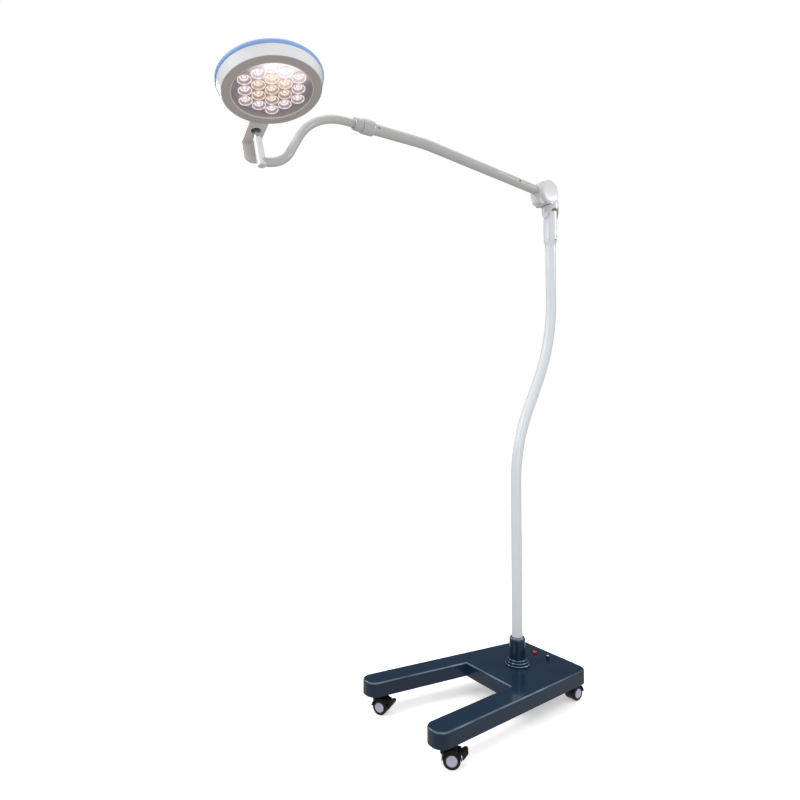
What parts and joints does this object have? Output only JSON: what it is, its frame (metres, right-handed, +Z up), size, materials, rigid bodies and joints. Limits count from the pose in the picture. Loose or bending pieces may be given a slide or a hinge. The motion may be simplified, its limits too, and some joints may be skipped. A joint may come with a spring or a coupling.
{
  "type": "mobile surgical light",
  "caption": "Mobile LED surgical lamp: castered U-shaped base, bent column, swivelling elbow, long level arm, rolling goose neck and round tilting lamp head.",
  "frame": {"origin": "on the floor under the foot of the column", "axes": "+Z up; -Y forward, the way the legs, the arm and the lamp head reach; +X is the side the lamp head is turned to"},
  "size_m": [0.5238, 1.3496, 1.9022],
  "materials": {
    "base_navy": "glossy dark navy lacquer",
    "bottom_plate": "dark satin plate",
    "steel": "plain steel",
    "driver_case": "pressed aluminium case",
    "black_plastic": "matte black",
    "caster_black": "moulded black nylon",
    "wheel_tread": "black tread",
    "button_red": "glossy red",
    "tube_white": "light grey-white powder coat",
    "elbow_white": "white enamel",
    "white_plastic": "white moulding",
    "brass_bush": "plain brass",
    "chrome_shaft": "polished",
    "zinc_screw": "dark zinc",
    "plug_olive": "grey-olive plug",
    "rim_blue": "translucent-looking light blue",
    "face_beige": "beige-grey satin",
    "clear_lens": "clear cover",
    "lens_optic": "moulded clear lens over a lit LED",
    "seal_grey": "light grey seal",
    "reflector_grey": "grey reflector plate",
    "board_white": "white solder mask",
    "sink_alu": "raw extrusion"
  },
  "bodies": {
    "base": {"base_shell": "base_navy", "base_bottom_plate": "bottom_plate", "ballast": "steel", "power_supply": "driver_case", "mains_inlet": "black_plastic", "column_socket": "base_navy", "base_screws": "zinc_screw", "column_tube": "tube_white", "column_sleeve": "tube_white", "sleeve_bush": "brass_bush", "control_bodies": "black_plastic"},
    "power_button": {"power_button": "button_red"},
    "dimmer_knob": {"dimmer_knob": "black_plastic"},
    "elbow": {"elbow_fork": "elbow_white", "knuckle_caps": "elbow_white", "neck_spigot": "steel", "pivot_bolt": "steel"},
    "arm": {"arm_hub": "elbow_white", "friction_screw": "white_plastic", "torsion_spring": "steel", "arm_tube": "tube_white", "arm_screws": "zinc_screw", "collar_ring": "tube_white"},
    "goose_neck": {"neck_insert": "steel", "collar_nut": "tube_white", "neck_tube": "tube_white", "stem_tube": "tube_white", "stem_plug": "plug_olive", "stem_bush": "brass_bush"},
    "head_swivel": {"swivel_shaft": "chrome_shaft"},
    "head": {"tilt_pin": "steel", "head_bracket": "face_beige", "head_body": "white_plastic", "head_rim": "rim_blue", "head_rear_cover": "white_plastic", "face_ring": "face_beige", "cover_lens": "clear_lens", "lens_seal": "seal_grey", "reflector_plate": "reflector_grey", "led_lenses": "lens_optic", "led_board": "board_white", "heat_sink": "sink_alu"},
    "caster_fr": {"caster_fork_fr": "caster_black", "caster_pins_fr": "steel"},
    "wheel_fr_a": {"caster_wheel_fr_a": "wheel_tread"},
    "wheel_fr_b": {"caster_wheel_fr_b": "wheel_tread"},
    "brake_fr": {"brake_lever_fr": "caster_black"},
    "caster_fl": {"caster_fork_fl": "caster_black", "caster_pins_fl": "steel"},
    "wheel_fl_a": {"caster_wheel_fl_a": "wheel_tread"},
    "wheel_fl_b": {"caster_wheel_fl_b": "wheel_tread"},
    "brake_fl": {"brake_lever_fl": "caster_black"},
    "caster_rr": {"caster_fork_rr": "caster_black", "caster_pins_rr": "steel"},
    "wheel_rr_a": {"caster_wheel_rr_a": "wheel_tread"},
    "wheel_rr_b": {"caster_wheel_rr_b": "wheel_tread"},
    "caster_rl": {"caster_fork_rl": "caster_black", "caster_pins_rl": "steel"},
    "wheel_rl_a": {"caster_wheel_rl_a": "wheel_tread"},
    "wheel_rl_b": {"caster_wheel_rl_b": "wheel_tread"}
  },
  "joints": [
    {"name": "power_button_press", "type": "slide", "parent": "base", "child": "power_button", "axis": [0, 0, -1], "range_m": [0, 0.002], "stiffness_N_per_m": 600},
    {"name": "dimmer_turn", "type": "hinge", "parent": "base", "child": "dimmer_knob", "pos_m": [0.032, 0.12, 0.12], "axis": [0, 0, -1], "range_deg": [0, 270]},
    {"name": "arm_swing", "type": "hinge", "parent": "base", "child": "elbow", "pos_m": [0, 0.19125, 1.775], "axis": [0, 0, 1], "range_deg": [-160, 160]},
    {"name": "arm_tilt", "type": "hinge", "parent": "elbow", "child": "arm", "pos_m": [0, 0.16025, 1.842], "axis": [-1, 0, 0], "range_deg": [-22, 35]},
    {"name": "neck_roll", "type": "hinge", "parent": "arm", "child": "goose_neck", "pos_m": [0, -0.62205, 1.87917], "axis": [0, -0.9995, -0.0314], "range_deg": [-150, 150]},
    {"name": "head_swivel", "type": "hinge", "parent": "goose_neck", "child": "head_swivel", "pos_m": [0.02551, -0.9745, 1.73041], "axis": [-0.1816, -0.1127, 0.9769], "range_deg": [-165, 28]},
    {"name": "head_tilt", "type": "hinge", "parent": "head_swivel", "child": "head", "pos_m": [0.01697, -0.97979, 1.77632], "axis": [0.0605, 0.9902, 0.1255], "range_deg": [-20, 20]},
    {"name": "caster_swivel_fr", "type": "hinge", "parent": "base", "child": "caster_fr", "pos_m": [0.186, -0.47, 0.06], "axis": [0, 0, 1], "continuous": true},
    {"name": "wheel_spin_fr_a", "type": "hinge", "parent": "caster_fr", "child": "wheel_fr_a", "pos_m": [0.19831, -0.45424, 0.025], "axis": [-0.788, 0.6157, 0], "continuous": true},
    {"name": "wheel_spin_fr_b", "type": "hinge", "parent": "caster_fr", "child": "wheel_fr_b", "pos_m": [0.19831, -0.45424, 0.025], "axis": [-0.788, 0.6157, 0], "continuous": true},
    {"name": "brake_press_fr", "type": "hinge", "parent": "caster_fr", "child": "brake_fr", "pos_m": [0.21247, -0.43612, 0.044], "axis": [-0.788, 0.6157, 0], "range_deg": [0, 9]},
    {"name": "caster_swivel_fl", "type": "hinge", "parent": "base", "child": "caster_fl", "pos_m": [-0.186, -0.47, 0.06], "axis": [0, 0, 1], "continuous": true},
    {"name": "wheel_spin_fl_a", "type": "hinge", "parent": "caster_fl", "child": "wheel_fl_a", "pos_m": [-0.16886, -0.4597, 0.025], "axis": [-0.515, 0.8572, 0], "continuous": true},
    {"name": "wheel_spin_fl_b", "type": "hinge", "parent": "caster_fl", "child": "wheel_fl_b", "pos_m": [-0.16886, -0.4597, 0.025], "axis": [-0.515, 0.8572, 0], "continuous": true},
    {"name": "brake_press_fl", "type": "hinge", "parent": "caster_fl", "child": "brake_fl", "pos_m": [-0.14914, -0.44785, 0.044], "axis": [-0.515, 0.8572, 0], "range_deg": [0, 9]},
    {"name": "caster_swivel_rr", "type": "hinge", "parent": "base", "child": "caster_rr", "pos_m": [0.118, 0.135, 0.06], "axis": [0, 0, 1], "continuous": true},
    {"name": "wheel_spin_rr_a", "type": "hinge", "parent": "caster_rr", "child": "wheel_rr_a", "pos_m": [0.11695, 0.15497, 0.025], "axis": [-0.9986, -0.0523, 0], "continuous": true},
    {"name": "wheel_spin_rr_b", "type": "hinge", "parent": "caster_rr", "child": "wheel_rr_b", "pos_m": [0.11695, 0.15497, 0.025], "axis": [-0.9986, -0.0523, 0], "continuous": true},
    {"name": "caster_swivel_rl", "type": "hinge", "parent": "base", "child": "caster_rl", "pos_m": [-0.118, 0.135, 0.06], "axis": [0, 0, 1], "continuous": true},
    {"name": "wheel_spin_rl_a", "type": "hinge", "parent": "caster_rl", "child": "wheel_rl_a", "pos_m": [-0.12645, 0.15313, 0.025], "axis": [-0.9063, -0.4226, 0], "continuous": true},
    {"name": "wheel_spin_rl_b", "type": "hinge", "parent": "caster_rl", "child": "wheel_rl_b", "pos_m": [-0.12645, 0.15313, 0.025], "axis": [-0.9063, -0.4226, 0], "continuous": true}
  ]
}
